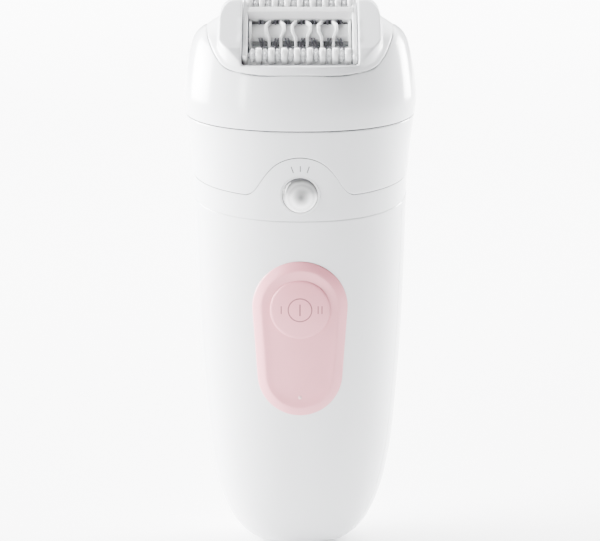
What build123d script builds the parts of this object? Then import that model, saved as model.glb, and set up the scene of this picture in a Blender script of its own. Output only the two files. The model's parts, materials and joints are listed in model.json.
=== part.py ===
"""Cordless epilator: oval handle, lift-off epilation head, massage cap and geared tweezer barrel.

Millimetres. Origin at the middle of the flat base, +Z up, front (switch pad side) towards -Y.
"""

from build123d import *
import math
import os

os.makedirs("parts", exist_ok=True)

# ---------------------------------------------------------------- driving dimensions
WALL = 2.0
OVAL_POWER = 2.25
OVAL_POINTS = 16
# Outline of the whole body from the base to the top of the head: height, half width, half depth.
OUTLINE = [
    (0.0, 11.0, 8.0),
    (0.9, 13.6, 9.8),
    (2.4, 15.9, 11.2),
    (5.7, 19.0, 13.2),
    (10.5, 21.7, 15.0),
    (17.1, 24.1, 16.6),
    (28.4, 26.5, 18.2),
    (45.0, 28.2, 19.3),
    (65.0, 29.55, 20.0),
    (88.0, 30.4, 20.5),
    (106.0, 30.85, 21.1),
    (118.0, 31.55, 21.5),
    (127.0, 32.6, 21.8),
    (133.2, 33.4, 21.9),
    (138.0, 33.05, 21.4),
    (143.5, 32.2, 19.9),
    (147.5, 31.3, 18.1),
    (150.4, 30.3, 16.1),
    (152.4, 28.9, 13.9),
    (154.0, 26.6, 11.4),
    (155.6, 22.0, 8.0),
]
FRONT = 21.2
# Seams: height where each one meets the front of the body, and its rise towards the back.
COLLAR_SEAM = (100.6, 13.8)
HEAD_SEAM = (107.4, 13.2)
SKIRT_SEAM = (126.5, 7.2)
HEAD_GAP = 0.24
FINE_GAP = 0.14
SHELL_SPLIT_Y = -7.6

# Switch pad and button
PAD_TOP_Z, PAD_TOP_R = 75.45, 13.6
PAD_LOW_Z, PAD_LOW_R = 55.45, 12.2
PAD_SINK, PAD_RISE = 0.8, 1.15
BUTTON_Z, BUTTON_R, BUTTON_TRAVEL = 75.1, 8.55, 0.8
BUTTON_BACK_Y, BUTTON_EDGE_Y, BUTTON_DOME = -18.2, -20.5, 1.15
STEM_R, STEM_END_Y = 2.4, -16.5
PILOT_Z, PILOT_R = 48.9, 0.62

# Lamp in the collar
LAMP_Z, LAMP_R = 108.2, 5.6

# Epilation head: working frame tilted towards the front
TILT = 38.0
FACE_Y, FACE_Z = -6.1, 152.95
ROW = 10.0
ROLLER_R, ROLLER_W, ROLLER_BORE = 2.05, 1.4, 0.56
AXLE_R = 0.5
FRONT_PITCH, REAR_PITCH = 3.575, 3.6
ROW_COUNT = 8
CAP_HALF = 16.1
POCKET_HALF = 16.35
POD_HALF = 22.9
BARREL_DROP = 5.5
TWEEZER_R, CORE_R = 7.0, 5.6
BARREL_AXLE_R = 1.5
RUNNING_FIT = 0.05

# Gear train
MODULE = 0.8
BARREL_TEETH, IDLER_TEETH = 14, 18
GEAR_X, GEAR_W = 17.6, 3.0
BACKLASH = 0.05
MOTOR_Y = 1.0
CROWN_TEETH, PINION_TEETH, CROWN_R = 27, 9, 6.75
PIN_R = 1.0

SINE, COSINE = math.sin(math.radians(TILT)), math.cos(math.radians(TILT))
BARREL_Y = FACE_Y + BARREL_DROP * SINE
BARREL_Z = FACE_Z - BARREL_DROP * COSINE
PITCH_R = MODULE * IDLER_TEETH / 2
BARREL_PITCH_R = MODULE * BARREL_TEETH / 2
FIRST_STEP = BARREL_PITCH_R + PITCH_R + BACKLASH
NEXT_STEP = 2 * PITCH_R + BACKLASH
TRAIN = FIRST_STEP + 2 * NEXT_STEP
LEAN = math.degrees(math.asin((MOTOR_Y - BARREL_Y) / TRAIN))


def train_point(distance):
    """Y and Z of a gear axle, this far down the line of centres from the barrel."""
    angle = math.radians(LEAN)
    return BARREL_Y + distance * math.sin(angle), BARREL_Z - distance * math.cos(angle)


UPPER_Y, UPPER_Z = train_point(FIRST_STEP)
LOWER_Y, LOWER_Z = train_point(FIRST_STEP + NEXT_STEP)
OUTPUT_Y, OUTPUT_Z = train_point(TRAIN)


# ---------------------------------------------------------------- helpers
def save(shape, name):
    export_step(shape, f"parts/{name}.step")
    print(name, round(shape.volume, 1))


def group(solids):
    return Compound(children=list(solids))


def outline_slope(index, column):
    """Slope of the outline at one of its stations, for a smooth curve through them all."""
    before = OUTLINE[max(index - 1, 0)]
    after = OUTLINE[min(index + 1, len(OUTLINE) - 1)]
    here = OUTLINE[index]
    if before is here or after is here:
        return (after[column] - before[column]) / (after[0] - before[0])
    left, right = here[0] - before[0], after[0] - here[0]
    left_slope = (here[column] - before[column]) / left
    right_slope = (after[column] - here[column]) / right
    return (left_slope * right + right_slope * left) / (left + right)


def half_sizes(height):
    """Half width and half depth of the body at a height, by cubic curves between the stations."""
    height = min(max(height, 0.0), OUTLINE[-1][0])
    index = max(i for i, station in enumerate(OUTLINE[:-1]) if station[0] <= height)
    low, high = OUTLINE[index], OUTLINE[index + 1]
    span = high[0] - low[0]
    t = (height - low[0]) / span
    sizes = []
    for column in (1, 2):
        start = (1 + 2 * t) * (1 - t) ** 2 * low[column]
        end = t * t * (3 - 2 * t) * high[column]
        start_pull = t * (1 - t) ** 2 * span * outline_slope(index, column)
        end_pull = t * t * (t - 1) * span * outline_slope(index + 1, column)
        sizes.append(start + end + start_pull + end_pull)
    return sizes


def oval(height, half_width, half_depth):
    points = []
    for step in range(OVAL_POINTS):
        angle = 2 * math.pi * step / OVAL_POINTS
        x = math.copysign(abs(math.cos(angle)) ** (2 / OVAL_POWER), math.cos(angle))
        y = math.copysign(abs(math.sin(angle)) ** (2 / OVAL_POWER), math.sin(angle))
        points.append((half_width * x, half_depth * y, height))
    return Wire([Spline(*points, periodic=True)])


def body(inset=0.0, low=0.0, high=155.6):
    """The body's outer form, moved in by inset (or out, where it is negative)."""
    wires = []
    heights = [low]
    while heights[-1] < high - 1.0 * 1.3:
        room = min(heights[-1] - low, high - heights[-1])
        heights.append(heights[-1] + min(14.0, 1.0 + 0.5 * room))
    for height in [*heights, high]:
        width, depth = half_sizes(height)
        above_width, above_depth = half_sizes(min(height + 1.0, OUTLINE[-1][0]))
        below_width, below_depth = half_sizes(max(height - 1.0, 0.0))
        slope = min(1.6, abs(above_width - below_width) / 2)
        depth_slope = min(1.6, abs(above_depth - below_depth) / 2)
        side = inset * math.sqrt(1 + slope**2)
        deep = inset * math.sqrt(1 + depth_slope**2)
        wires.append(oval(height, width - side, depth - deep))
    return Solid.make_loft(wires)


def above(seam, shift=0.0):
    """Everything above a seam's plane."""
    height, rise = seam
    return Pos(0, -FRONT, height + shift) * Rot(rise, 0, 0) * Pos(0, 0, 100) * Box(240, 240, 200)


def block(x0, x1, y0, y1, z0, z1):
    return Pos((x0 + x1) / 2, (y0 + y1) / 2, (z0 + z1) / 2) * Box(x1 - x0, y1 - y0, z1 - z0)


def rod_x(x0, x1, y, z, radius):
    return Pos((x0 + x1) / 2, y, z) * Rot(0, 90, 0) * Cylinder(radius, x1 - x0)


def rod_y(y0, y1, x, z, radius):
    return Pos(x, (y0 + y1) / 2, z) * Rot(90, 0, 0) * Cylinder(radius, y1 - y0)


def rod_z(z0, z1, x, y, radius):
    return Pos(x, y, (z0 + z1) / 2) * Cylinder(radius, z1 - z0)


def front_prism(sketch, y0, y1):
    """A sketch drawn in x and z, pushed from y0 to y1."""
    return extrude(Plane(origin=(0, y1, 0), x_dir=(1, 0, 0), z_dir=(0, -1, 0)) * sketch, y1 - y0)


def face_box(x0, x1, s0, s1, w0, w1):
    """A box in the head's tilted working frame: s runs up the face, w stands out of it."""
    frame = Pos(0, FACE_Y, FACE_Z) * Rot(TILT, 0, 0)
    return frame * block(x0, x1, s0, s1, w0, w1)


def face_rod(x0, x1, s, w, radius):
    return rod_x(x0, x1, FACE_Y + s * COSINE - w * SINE, FACE_Z + s * SINE + w * COSINE, radius)


def gear_face(teeth, module, tip_share=0.24, pitch_share=0.41):
    """Gear outline with straight flanks, one tooth centred on the local x axis."""
    pitch_radius = module * teeth / 2
    tip, root = pitch_radius + 0.85 * module, pitch_radius - 1.15 * module
    step = 2 * math.pi / teeth
    root_share = 2 * pitch_share - tip_share
    points = []
    for tooth in range(teeth):
        middle = tooth * step
        for radius, offset in (
            (root, -root_share / 2),
            (tip, -tip_share / 2),
            (tip, tip_share / 2),
            (root, root_share / 2),
        ):
            angle = middle + offset * step
            points.append((radius * math.cos(angle), radius * math.sin(angle)))
    return make_face(Polyline(*points, close=True))


def gear_x(teeth, module, x0, width, y, z, phase):
    """Spur gear about the X direction; phase 0 points a tooth straight down."""
    return Pos(x0, y, z) * Rot(0, 90, 0) * Rot(0, 0, phase) * extrude(gear_face(teeth, module), width)


# ---------------------------------------------------------------- body shells
outer = body()
inner = body(WALL, 2.6, 152.4)
wall = outer - inner


def switch_outline(shrink):
    top = Pos(0, PAD_TOP_Z) * Circle(PAD_TOP_R - shrink)
    low = Pos(0, PAD_LOW_Z) * Circle(PAD_LOW_R - shrink)
    return make_hull(top.edges() + low.edges())


def inlet_form(length, width, z0, z1):
    return extrude(Pos(0, 0, z0) * SlotOverall(length, width), z1 - z0)


INLET_LONG, INLET_WIDE, INLET_WALL, INLET_TOP = 13.2, 8.2, 1.0, 11.5


def handle_shells():
    handle = wall - above(COLLAR_SEAM, -FINE_GAP)
    pocket = front_prism(switch_outline(-0.04), -40, -10) - body(PAD_SINK)
    boss = rod_y(-18.9, -15.9, 0, BUTTON_Z, BUTTON_R + 2.0)
    well = rod_y(-40, BUTTON_BACK_Y + BUTTON_TRAVEL + 0.1, 0, BUTTON_Z, BUTTON_R + 0.3)
    stem_hole = rod_y(-40, -10, 0, BUTTON_Z, STEM_R + 0.1)
    pilot_hole = rod_y(-40, -10, 0, PILOT_Z, PILOT_R + 0.35)
    inlet_hole = inlet_form(INLET_LONG, INLET_WIDE, -1, INLET_TOP + 1)
    release_hole = release_form(RELEASE_LONG + 0.3, RELEASE_HIGH + 0.3, 12, 30)
    handle = handle + boss - pocket - well - stem_hole - pilot_hole - inlet_hole - release_hole
    front = handle - block(-50, 50, SHELL_SPLIT_Y, 50, -5, 130)
    rear = handle - block(-50, 50, -50, SHELL_SPLIT_Y + FINE_GAP, -5, 130)
    return front, rear


RELEASE_Z, RELEASE_LONG, RELEASE_HIGH, RELEASE_TRAVEL = 98.5, 15.0, 7.0, 1.2
RELEASE_OUT, RELEASE_IN = 21.5, 16.2


def release_form(length, height, y0, y1):
    return front_prism(Pos(0, RELEASE_Z) * SlotOverall(length, height), y0, y1)


def release_button():
    cap = release_form(RELEASE_LONG, RELEASE_HIGH, RELEASE_IN + 1.2, RELEASE_OUT)
    cap = fillet(cap.faces().sort_by(Axis.Y)[-1].edges(), 0.8)
    flange = release_form(RELEASE_LONG + 3, RELEASE_HIGH + 2.4, RELEASE_IN, RELEASE_IN + 1.4)
    return cap + flange


front_shell, rear_shell = handle_shells()
save(front_shell, "front_shell")
save(rear_shell, "rear_shell")
save(release_button(), "release_button")


# ---------------------------------------------------------------- collar and lamp
HUMP = [(15.2, 0.55), (14.0, 0.96), (12.35, 2.5), (10.55, 5.2), (8.5, 7.8), (6.2, 9.75), (3.2, 11.02)]
HUMP_TOP = 11.45


def hump_outline(grow=0.0):
    """The arch that the head's lower edge makes over the lamp."""
    right = []
    for x, rise in HUMP:
        lift = grow if x < 9 else 0
        right.append((x + grow, HEAD_SEAM[0] + rise + lift))
    left = [(-x, z) for x, z in reversed(right)]
    arch = Spline(*right, (0, HEAD_SEAM[0] + HUMP_TOP + grow), *left)
    foot = HEAD_SEAM[0] - 6
    bottom = Polyline(left[-1], (left[-1][0], foot), (right[0][0], foot), right[0])
    return make_face(arch + bottom)


SPIGOT_UP = 5.0
DECK = 1.8


def collar():
    hump = front_prism(hump_outline(), -40, -FRONT / 2)
    hollow = body(WALL + 1.4, 88, 132)
    ring = ((outer - hollow) & above(COLLAR_SEAM)) - above(HEAD_SEAM)
    band = above(HEAD_SEAM, -0.6) - above(HEAD_SEAM, SPIGOT_UP)
    arch = wall & hump & above(HEAD_SEAM, -0.6)
    web = (body(WALL - 0.5, 90, 130) - hollow) & hump & band
    spigot = (body(WALL + 0.15, 90, 130) - hollow) & band
    deck = body(WALL + 1.0, 90, 130) & (above(HEAD_SEAM, SPIGOT_UP - DECK) - above(HEAD_SEAM, SPIGOT_UP))
    gear_slot = block(17.1, 21.1, OUTPUT_Y - 8.4, OUTPUT_Y + 7.2, 105, 125)
    lamp_hole = rod_y(-40, -14, 0, LAMP_Z, LAMP_R + 0.03)
    latch_slot = block(-4.2, 4.2, 11.2, 14.2, 100, 130)
    return ring + arch + web + spigot + deck - gear_slot - lamp_hole - latch_slot


collar_ring = collar()
save(collar_ring, "collar_ring")


def lamp():
    cup = rod_y(-FRONT, -15.2, 0, LAMP_Z, LAMP_R)
    bowl = rod_y(-FRONT - 1, -16.4, 0, LAMP_Z, LAMP_R - 0.55)
    cup = cup - bowl - rod_y(-30, -10, 0, LAMP_Z, 1.6)
    sphere_r = 9.2
    lens = rod_y(-23, -17.2, 0, LAMP_Z, LAMP_R - 0.6)
    lens = lens & (Pos(0, -22.4 + sphere_r, LAMP_Z) * Sphere(sphere_r))
    led = block(-1.2, 1.2, -16.9, -14.2, LAMP_Z - 1.2, LAMP_Z + 1.2)
    led = led & rod_y(-20, -10, 0, LAMP_Z, 1.5)
    led_board = block(-4, 4, -14.2, -13.2, LAMP_Z - 3.5, LAMP_Z + 1.6)
    return cup, lens, led + led_board


reflector, lens, lamp_led = lamp()
save(reflector, "lamp_reflector")
save(lens, "lamp_lens")
save(lamp_led, "lamp_led")


# ---------------------------------------------------------------- switch pad, button, pilot light
def switch_pad():
    low = front_prism(switch_outline(0.0), -40, -12) & body(-0.45, 30, 110)
    mid = front_prism(switch_outline(1.1), -40, -12) & body(-0.8, 30, 110)
    top = front_prism(switch_outline(2.2), -40, -12) & body(-PAD_RISE, 30, 110)
    pad = low + mid + top - body(PAD_SINK)
    pad = pad - rod_y(-40, -10, 0, BUTTON_Z, BUTTON_R + 0.05)
    return pad - rod_y(-40, -10, 0, PILOT_Z, PILOT_R)


def power_button():
    dome_r = (BUTTON_R**2 + BUTTON_DOME**2) / (2 * BUTTON_DOME)
    disc = rod_y(-26, BUTTON_BACK_Y, 0, BUTTON_Z, BUTTON_R)
    dome = Pos(0, BUTTON_EDGE_Y - BUTTON_DOME + dome_r, BUTTON_Z) * Sphere(dome_r)
    stem = rod_y(BUTTON_BACK_Y, STEM_END_Y, 0, BUTTON_Z, STEM_R)
    return (disc & dome) + stem


save(switch_pad(), "switch_pad")
save(power_button(), "power_button")
save(rod_y(-20.2, -11.5, 0, PILOT_Z, PILOT_R - 0.02), "pilot_light")


# ---------------------------------------------------------------- inside the handle
BOARD_FRONT, BOARD_BACK = -11.5, -10.1
CELL_Y, CELL_R, CELL_LOW, CELL_HIGH = 4.0, 7.1, 15.0, 62.0
MOTOR_R, MOTOR_LOW, MOTOR_HIGH = 10.5, 66.5, 95.8
CROWN_FACE = 1.9


def main_board():
    board = block(-11, 11, BOARD_FRONT, BOARD_BACK, 34, 94)
    chip = block(-3.5, 3.5, BOARD_FRONT - 1.2, BOARD_FRONT, 58, 65)
    coil = rod_y(BOARD_FRONT - 2.2, BOARD_FRONT, 6.2, 41, 2.8)
    caps = [rod_y(BOARD_FRONT - 2.6, BOARD_FRONT, -7.6, 42 + 7 * i, 2.2) for i in range(2)]
    for piece in [chip, coil, *caps]:
        board = board + piece
    return board


def tact_switch():
    case = block(-3, 3, -15.0, BOARD_FRONT, BUTTON_Z - 3, BUTTON_Z + 3)
    return case + rod_y(-15.6, -15.0, 0, BUTTON_Z, 1.7)


def chassis():
    plate = block(-13, 13, -6.2, -4.6, 14, 64.6)
    shelf_low = block(-13, 13, -6.2, 10.2, 12.4, 14.2)
    shelf_high = block(-13, 13, -6.2, 10.2, 62.8, 64.4)
    ribs = [block(x, x + 1.5, -10.1, 10.2, 12.4, 64.4) for x in (-13, 11.5)]
    posts = [block(x, x + 3, BOARD_BACK, -4.6, 64, 66) for x in (-12.5, 9.5)]
    frame = plate + shelf_low + shelf_high
    for piece in [*ribs, *posts]:
        frame = frame + piece
    return frame - block(-9, 9, BOARD_FRONT, BOARD_BACK + 0.01, 30, 95)


def battery_tabs():
    low = block(-2.5, 2.5, CELL_Y - 2.5, CELL_Y + 2.5, 14.2, 14.6)
    high = block(-2.5, 2.5, CELL_Y - 2.5, CELL_Y + 2.5, 62.4, 62.8)
    springs = [block(-2.0, 2.0, CELL_Y - 2, CELL_Y + 2, 14.6, 15.0)]
    springs.append(block(-2.0, 2.0, CELL_Y - 2, CELL_Y + 2, 62.0, 62.4))
    return group([low + springs[0], high + springs[1]])


def motor_parts():
    can = rod_z(MOTOR_LOW, MOTOR_HIGH, 0, MOTOR_Y, MOTOR_R)
    can = fillet(can.edges().filter_by(GeomType.CIRCLE), 1.0)
    boss = rod_z(MOTOR_HIGH - 0.5, MOTOR_HIGH + 1.0, 0, MOTOR_Y, 3.0)
    bore = rod_z(60, 110, 0, MOTOR_Y, PIN_R + RUNNING_FIT)
    cap = rod_z(64.6, MOTOR_LOW, 0, MOTOR_Y, MOTOR_R - 0.6)
    cap = cap - bore
    return can + boss - bore, cap


def motor_bracket():
    plate_low, plate_high = MOTOR_HIGH + 0.05, MOTOR_HIGH + 1.6
    plate = block(-11, 23, MOTOR_Y - 8, MOTOR_Y + 8, plate_low, plate_high)
    ears = []
    for x0, x1 in ((-5.4, -3.8), (21.1, 22.7)):
        ears.append(block(x0, x1, OUTPUT_Y - 3, OUTPUT_Y + 3, plate_low, OUTPUT_Z + 3))
    bracket = plate + ears[0] + ears[1]
    gear_well = rod_x(17.2, 21.0, OUTPUT_Y, OUTPUT_Z, PITCH_R + 1.2)
    crown_well = rod_x(1.6, 5.6, OUTPUT_Y, OUTPUT_Z, CROWN_R + 1.3)
    shaft_hole = rod_z(90, 100, 0, MOTOR_Y, 3.3)
    screw_holes = [rod_z(90, 100, x, MOTOR_Y, 0.9) for x in (-7, 8)]
    pin = rod_x(-6, 24, OUTPUT_Y, OUTPUT_Z, PIN_R)
    bracket = bracket - gear_well - crown_well - shaft_hole - pin
    return bracket - screw_holes[0] - screw_holes[1]


def motor_screws():
    screws = []
    for x in (-7, 8):
        head = rod_z(MOTOR_HIGH + 1.6, MOTOR_HIGH + 2.7, x, MOTOR_Y, 1.6)
        slot = block(x - 1.2, x + 1.2, MOTOR_Y - 0.25, MOTOR_Y + 0.25, MOTOR_HIGH + 2.2, MOTOR_HIGH + 3)
        shank = rod_z(MOTOR_HIGH + 0.05, MOTOR_HIGH + 1.6, x, MOTOR_Y, 0.9)
        screws.append(head - slot + shank)
    return group(screws)


def motor_pinion():
    shaft = rod_z(64.7, 101.9, 0, MOTOR_Y, PIN_R)
    profile = gear_face(PINION_TEETH, 0.5, 0.2, 0.34)
    gear = Pos(0, MOTOR_Y, 98.2) * Rot(0, 0, 180 / PINION_TEETH) * extrude(profile, 3.5)
    return shaft + gear


def crown_gear():
    disc = rod_x(CROWN_FACE + 0.95, 5.0, OUTPUT_Y, OUTPUT_Z, CROWN_R + 0.75)
    hub = rod_x(5.0, GEAR_X, OUTPUT_Y, OUTPUT_Z, 2.4)
    spur = gear_x(IDLER_TEETH, MODULE, GEAR_X, GEAR_W, OUTPUT_Y, OUTPUT_Z, LEAN + 180 / IDLER_TEETH)
    crown = disc + hub + spur
    tooth_half = 0.25
    for tooth in range(CROWN_TEETH):
        bar = block(CROWN_FACE, CROWN_FACE + 1.2, -tooth_half, tooth_half, -CROWN_R - 0.7, -CROWN_R + 0.7)
        crown = crown + Pos(0, OUTPUT_Y, OUTPUT_Z) * Rot(tooth * 360 / CROWN_TEETH, 0, 0) * bar
    return crown - rod_x(-1, 30, OUTPUT_Y, OUTPUT_Z, PIN_R + RUNNING_FIT)


save(main_board(), "main_board")
save(tact_switch(), "tact_switch")
save(chassis(), "chassis")
save(rod_z(CELL_LOW, CELL_HIGH, 0, CELL_Y, CELL_R), "battery_cell")
save(battery_tabs(), "battery_tabs")
motor_can, motor_end_cap = motor_parts()
save(motor_can, "motor_can")
save(motor_end_cap, "motor_end_cap")
save(motor_bracket(), "motor_bracket")
save(motor_screws(), "motor_screws")
save(motor_pinion(), "motor_pinion")
save(crown_gear(), "crown_gear")
save(rod_x(-5.4, 22.7, OUTPUT_Y, OUTPUT_Z, PIN_R), "crown_axle")


def inlet():
    form = inlet_form(INLET_LONG, INLET_WIDE, 0, INLET_TOP)
    hollow = inlet_form(INLET_LONG - 2 * INLET_WALL, INLET_WIDE - 2 * INLET_WALL, -1, 9.6)
    pins = [rod_z(5.4, 12.2, x, 0, 0.7) for x in (-2.6, 2.6)]
    return form - hollow - pins[0] - pins[1], group(pins)


inlet_housing, inlet_pins = inlet()
save(inlet_housing, "inlet_housing")
save(inlet_pins, "inlet_pins")


# ---------------------------------------------------------------- head shells
def cradle(drop=0.0):
    """The space above the line where the white working housing meets the head's shell."""
    half = Spline(
        (0, 141.9 - drop),
        (16.6, 142.4 - drop),
        (21.65 + drop / 2, 144.1 - drop / 2),
        (24.5 + drop / 2, 147.8),
        (26.0 + drop, 151.1),
        (27.4 + drop, 156.0),
        tangents=[(1, 0), (0.2, 1)],
    )
    other = mirror(half, Plane.YZ)
    lid = Polyline((27.4 + drop, 156.0), (27.4 + drop, 175), (-27.4 - drop, 175), (-27.4 - drop, 156.0))
    return front_prism(make_face(half + other + lid), -40, 40)


def head_skirt():
    hump = front_prism(hump_outline(HEAD_GAP), -40, -FRONT / 2)
    skirt = (wall & above(HEAD_SEAM, HEAD_GAP)) - above(SKIRT_SEAM, -FINE_GAP)
    return skirt - hump


def head_shell():
    return (wall & above(SKIRT_SEAM, FINE_GAP / 2)) - cradle(FINE_GAP)


def pod_profile():
    """Side view of the working housing, in y and z."""
    front = Spline((-18.3, 140.0), (-17.75, 144.6), (-15.7, 149.1))
    face = Line((-15.7, 149.1), (-0.2, 160.75))
    back = Spline((-0.2, 160.75), (3.0, 160.9), (8.5, 157.2), (14.0, 149.4), (18.0, 140.0))
    floor = Line((18.0, 140.0), (-18.3, 140.0))
    return make_face(front + face + back + floor)


POD_PLAN_WIDTH, POD_PLAN_DEPTH, POD_PLAN_POWER = 24.4, 18.7, 4.0
def plan_prism():
    """Upright prism that rounds the working housing's corners as seen from above."""
    points = []
    for step in range(24):
        angle = 2 * math.pi * (step + 0.5) / 24
        c, s = math.cos(angle), math.sin(angle)
        x = math.copysign(abs(c) ** (2 / POD_PLAN_POWER), c)
        y = math.copysign(abs(s) ** (2 / POD_PLAN_POWER), s)
        points.append((POD_PLAN_WIDTH * x, POD_PLAN_DEPTH * y, 130))
    return extrude(make_face(Spline(*points, periodic=True)), 50, dir=(0, 0, 1))


def pods():
    profile = Plane(origin=(-POD_HALF, 0, 0), x_dir=(0, 1, 0), z_dir=(1, 0, 0)) * pod_profile()
    prism = extrude(profile, 2 * POD_HALF)
    round_top = 5.0
    outline = Pos(0, 140) * RectangleRounded(2 * POD_HALF, 2 * 21.1, round_top)
    return prism & front_prism(outline, -40, 40) & plan_prism() & cradle()


def housing():
    seat = body() & cradle()
    lower = body(WALL + 0.1, 136.0, 154.0) - block(-50, 50, -50, 50, 100, 138.2)
    form = seat + lower + pods()
    front_lip = block(-POCKET_HALF, POCKET_HALF, -40, -15.2, 144.4, 170)
    pocket = face_box(-POCKET_HALF, POCKET_HALF, -12.6, 13.5, -3.7, 40)
    rear_step = face_box(-POCKET_HALF, POCKET_HALF, 7.6, 13.5, -3.8, -2.45)
    well = face_rod(-POCKET_HALF, POCKET_HALF, 0, -BARREL_DROP, TWEEZER_R + 0.45)
    slot = rod_x(17.2, 21.2, BARREL_Y, BARREL_Z, 6.75)
    chute = Pos(0, BARREL_Y, BARREL_Z) * Rot(LEAN, 0, 0) * block(17.2, 21.2, -8.6, 8.6, -25, -4.5)
    hub_hole = rod_x(16, 18, BARREL_Y, BARREL_Z, 3.7)
    axle = rod_x(-21.5, 22.0, BARREL_Y, BARREL_Z, BARREL_AXLE_R)
    form = form - front_lip - (pocket - rear_step) - well - slot - chute - hub_hole - axle
    for side in (-1, 1):
        recess = front_prism(Pos(side * 21.0, 146.3) * SlotOverall(2.6, 1.3, rotation=90), -40, -15.6)
        form = form - recess
    return form


save(head_skirt(), "head_skirt")
save(head_shell(), "head_shell")
head_housing = housing()
save(head_housing, "head_housing")


# ---------------------------------------------------------------- inside the head
BASE_UP, BASE_THICK = 5.3, 2.0


def head_base():
    plate = (body(WALL + 0.12, 95, 133) & above(HEAD_SEAM, BASE_UP)) - above(HEAD_SEAM, BASE_UP + BASE_THICK)
    plate = plate - block(17.05, 21.25, -9.4, 9.0, 100, 135) - rod_y(-40, -14.5, 0, LAMP_Z, LAMP_R + 0.8)
    for x, y in SCREW_SPOTS:
        sink = rod_z(-1, 1.2, 0, 0, SCREW_HEAD_R + 0.1)
        plate = plate - at_screw(x, y) * (rod_z(-1, 9, 0, 0, SCREW_R) + sink)
    return plate


SCREW_SPOTS = [(-20, -9), (-20, 9), (10, -12), (10, 12)]
SCREW_R, SCREW_HEAD_R = 0.9, 1.6


def at_screw(x, y):
    """Frame of a base screw: its z is square to the tilted plate, from the plate's underside."""
    return Pos(x, y, base_height(y)) * Rot(HEAD_SEAM[1], 0, 0)


def base_height(y):
    """Underside of the head's base plate at this y."""
    rise = math.radians(HEAD_SEAM[1])
    return HEAD_SEAM[0] + BASE_UP / math.cos(rise) + (y + FRONT) * math.tan(rise)


def head_posts():
    """Posts that carry the working housing on the base plate, with the gear frame between them."""
    cut = above(HEAD_SEAM, BASE_UP + BASE_THICK)
    posts = []
    for x, y in SCREW_SPOTS:
        post = rod_z(108, 138.1, x, y, 2.6) & cut
        posts.append(post - at_screw(x, y) * rod_z(0, 6.0, 0, 0, SCREW_R))
    cheeks = [block(x0, x1, -10.0, 7.5, 108, 138.1) & cut for x0, x1 in ((15.4, 17.0), (21.3, 22.9))]
    web = block(15.4, 22.9, -11.3, -9.9, 108, 138.1) & cut
    arm = block(10.0, 17.0, -12.6, -9.9, 112, 138.1) & cut
    bridge = block(8.5, 17.0, 4.6, 13.0, 134, 138.1)
    frame = web + cheeks[0] + cheeks[1] + arm + bridge + posts[2] + posts[3]
    for x, y in SCREW_SPOTS[2:]:
        frame = frame - at_screw(x, y) * rod_z(0, 6.0, 0, 0, SCREW_R)
    pins = rod_x(15, 24, UPPER_Y, UPPER_Z, PIN_R) + rod_x(15, 24, LOWER_Y, LOWER_Z, PIN_R)
    return frame - pins, group(posts[:2])


def head_screws():
    head = rod_z(0.15, 1.2, 0, 0, SCREW_HEAD_R) - block(-1.1, 1.1, -0.2, 0.2, -1, 0.7)
    screw = head + rod_z(1.2, 6.0, 0, 0, SCREW_R)
    return group([at_screw(x, y) * screw for x, y in SCREW_SPOTS])


def idler(y, z, phase):
    gear = gear_x(IDLER_TEETH, MODULE, GEAR_X, GEAR_W, y, z, phase)
    for face_x in (GEAR_X - 0.01, GEAR_X + GEAR_W - 0.7):
        ring = rod_x(face_x, face_x + 0.71, y, z, 5.4) - rod_x(face_x - 1, face_x + 2, y, z, 2.3)
        gear = gear - ring
    return gear - rod_x(10, 30, y, z, PIN_R + RUNNING_FIT)


gear_frame, left_posts = head_posts()
save(head_base(), "head_base")
save(gear_frame, "gear_frame")
save(left_posts, "head_posts")
save(head_screws(), "head_screws")
save(idler(UPPER_Y, UPPER_Z, LEAN + 180 / IDLER_TEETH), "upper_idler")
save(idler(LOWER_Y, LOWER_Z, LEAN), "lower_idler")
save(
    group([rod_x(15.4, 22.9, y, z, PIN_R) for y, z in ((UPPER_Y, UPPER_Z), (LOWER_Y, LOWER_Z))]),
    "idler_pins",
)


# ---------------------------------------------------------------- tweezer barrel
ROWS, STATIONS, STATION_PITCH = 4, 7, 3.7
PLATE_THICK, PLATE_HALF, CLAMP_OPEN = 0.4, 1.6, 0.45
BAR_LOW, BAR_HIGH, BAR_HALF = 3.6, 4.6, 0.7
BARREL_HALF = 14.4


def on_barrel(shape, row):
    """Place a shape drawn with x along the barrel and z radial at one of the rows."""
    return Pos(0, BARREL_Y, BARREL_Z) * Rot(45 + row * 360 / ROWS, 0, 0) * shape


def station(number):
    return (number - (STATIONS - 1) / 2) * STATION_PITCH


def fixed_plates():
    plates = []
    for row in range(ROWS):
        for number in range(STATIONS):
            x = station(number)
            plate = block(x - PLATE_THICK / 2, x + PLATE_THICK / 2, -PLATE_HALF, PLATE_HALF, 4.9, TWEEZER_R)
            plates.append(on_barrel(plate, row))
    return plates


def push_bars():
    bars = []
    for row in range(ROWS):
        bar = block(-13.4, 13.8, -BAR_HALF, BAR_HALF, BAR_LOW, BAR_HIGH)
        for number in range(STATIONS):
            x = station(number) + PLATE_THICK / 2 + CLAMP_OPEN
            bar = bar + block(x, x + PLATE_THICK, -BAR_HALF, BAR_HALF, BAR_LOW, CORE_R + 0.3)
            bar = bar + block(x, x + PLATE_THICK, -PLATE_HALF, PLATE_HALF, CORE_R + 0.1, TWEEZER_R)
        bars.append(on_barrel(bar, row))
    return bars


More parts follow.
